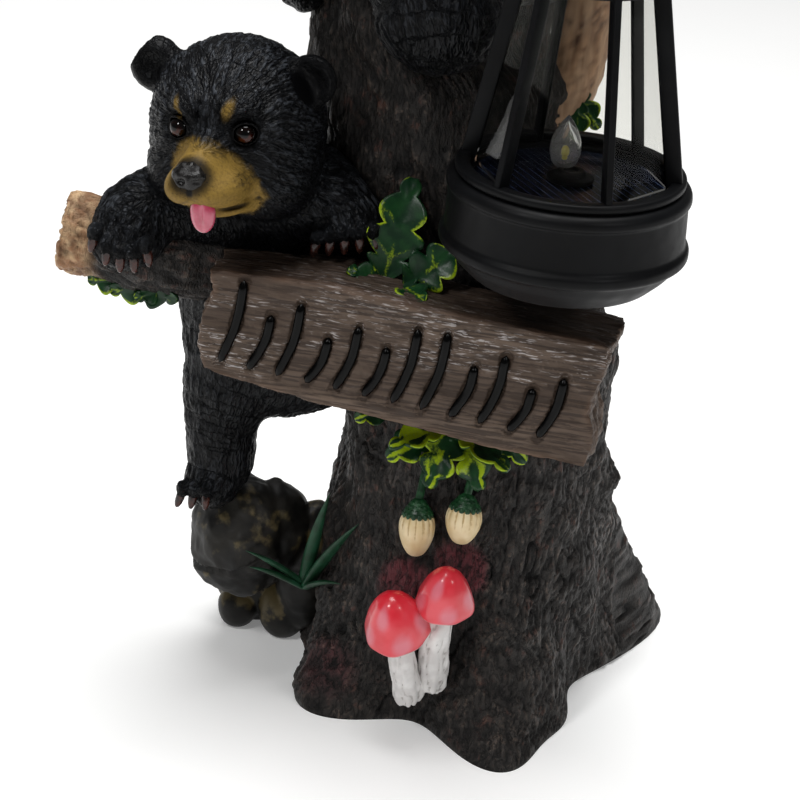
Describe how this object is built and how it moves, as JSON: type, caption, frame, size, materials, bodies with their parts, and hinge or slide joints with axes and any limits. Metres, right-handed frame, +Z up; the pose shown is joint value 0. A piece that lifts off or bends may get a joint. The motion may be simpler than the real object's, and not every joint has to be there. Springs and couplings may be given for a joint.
{
  "type": "bear garden statue",
  "caption": "Cast garden statue of bear cubs on a tree stump with a plank sign, oak leaves, acorns and mushrooms, and a lamp lantern hung from a limb.",
  "frame": {"origin": "on the ground under the foot of the stump, at the middle of its underside", "axes": "+Z up along the stump, the sign and the cubs' faces look along -Y, the lantern hangs on the +X side"},
  "size_m": [0.2061, 0.174, 0.353],
  "materials": {
    "painted_resin": "satin",
    "black_plastic": "satin",
    "solar_cell": "gloss",
    "clear_bulb": "gloss",
    "clear_pane": "gloss"
  },
  "bodies": {
    "root": {"statue": "painted_resin", "lantern_pan": "black_plastic", "lantern_solar_cell": "solar_cell", "lantern_lamp_socket": "black_plastic", "lantern_bulb": "clear_bulb", "lantern_glass": "clear_pane", "lantern_frame": "black_plastic", "lantern_cap": "black_plastic"}
  },
  "joints": []
}
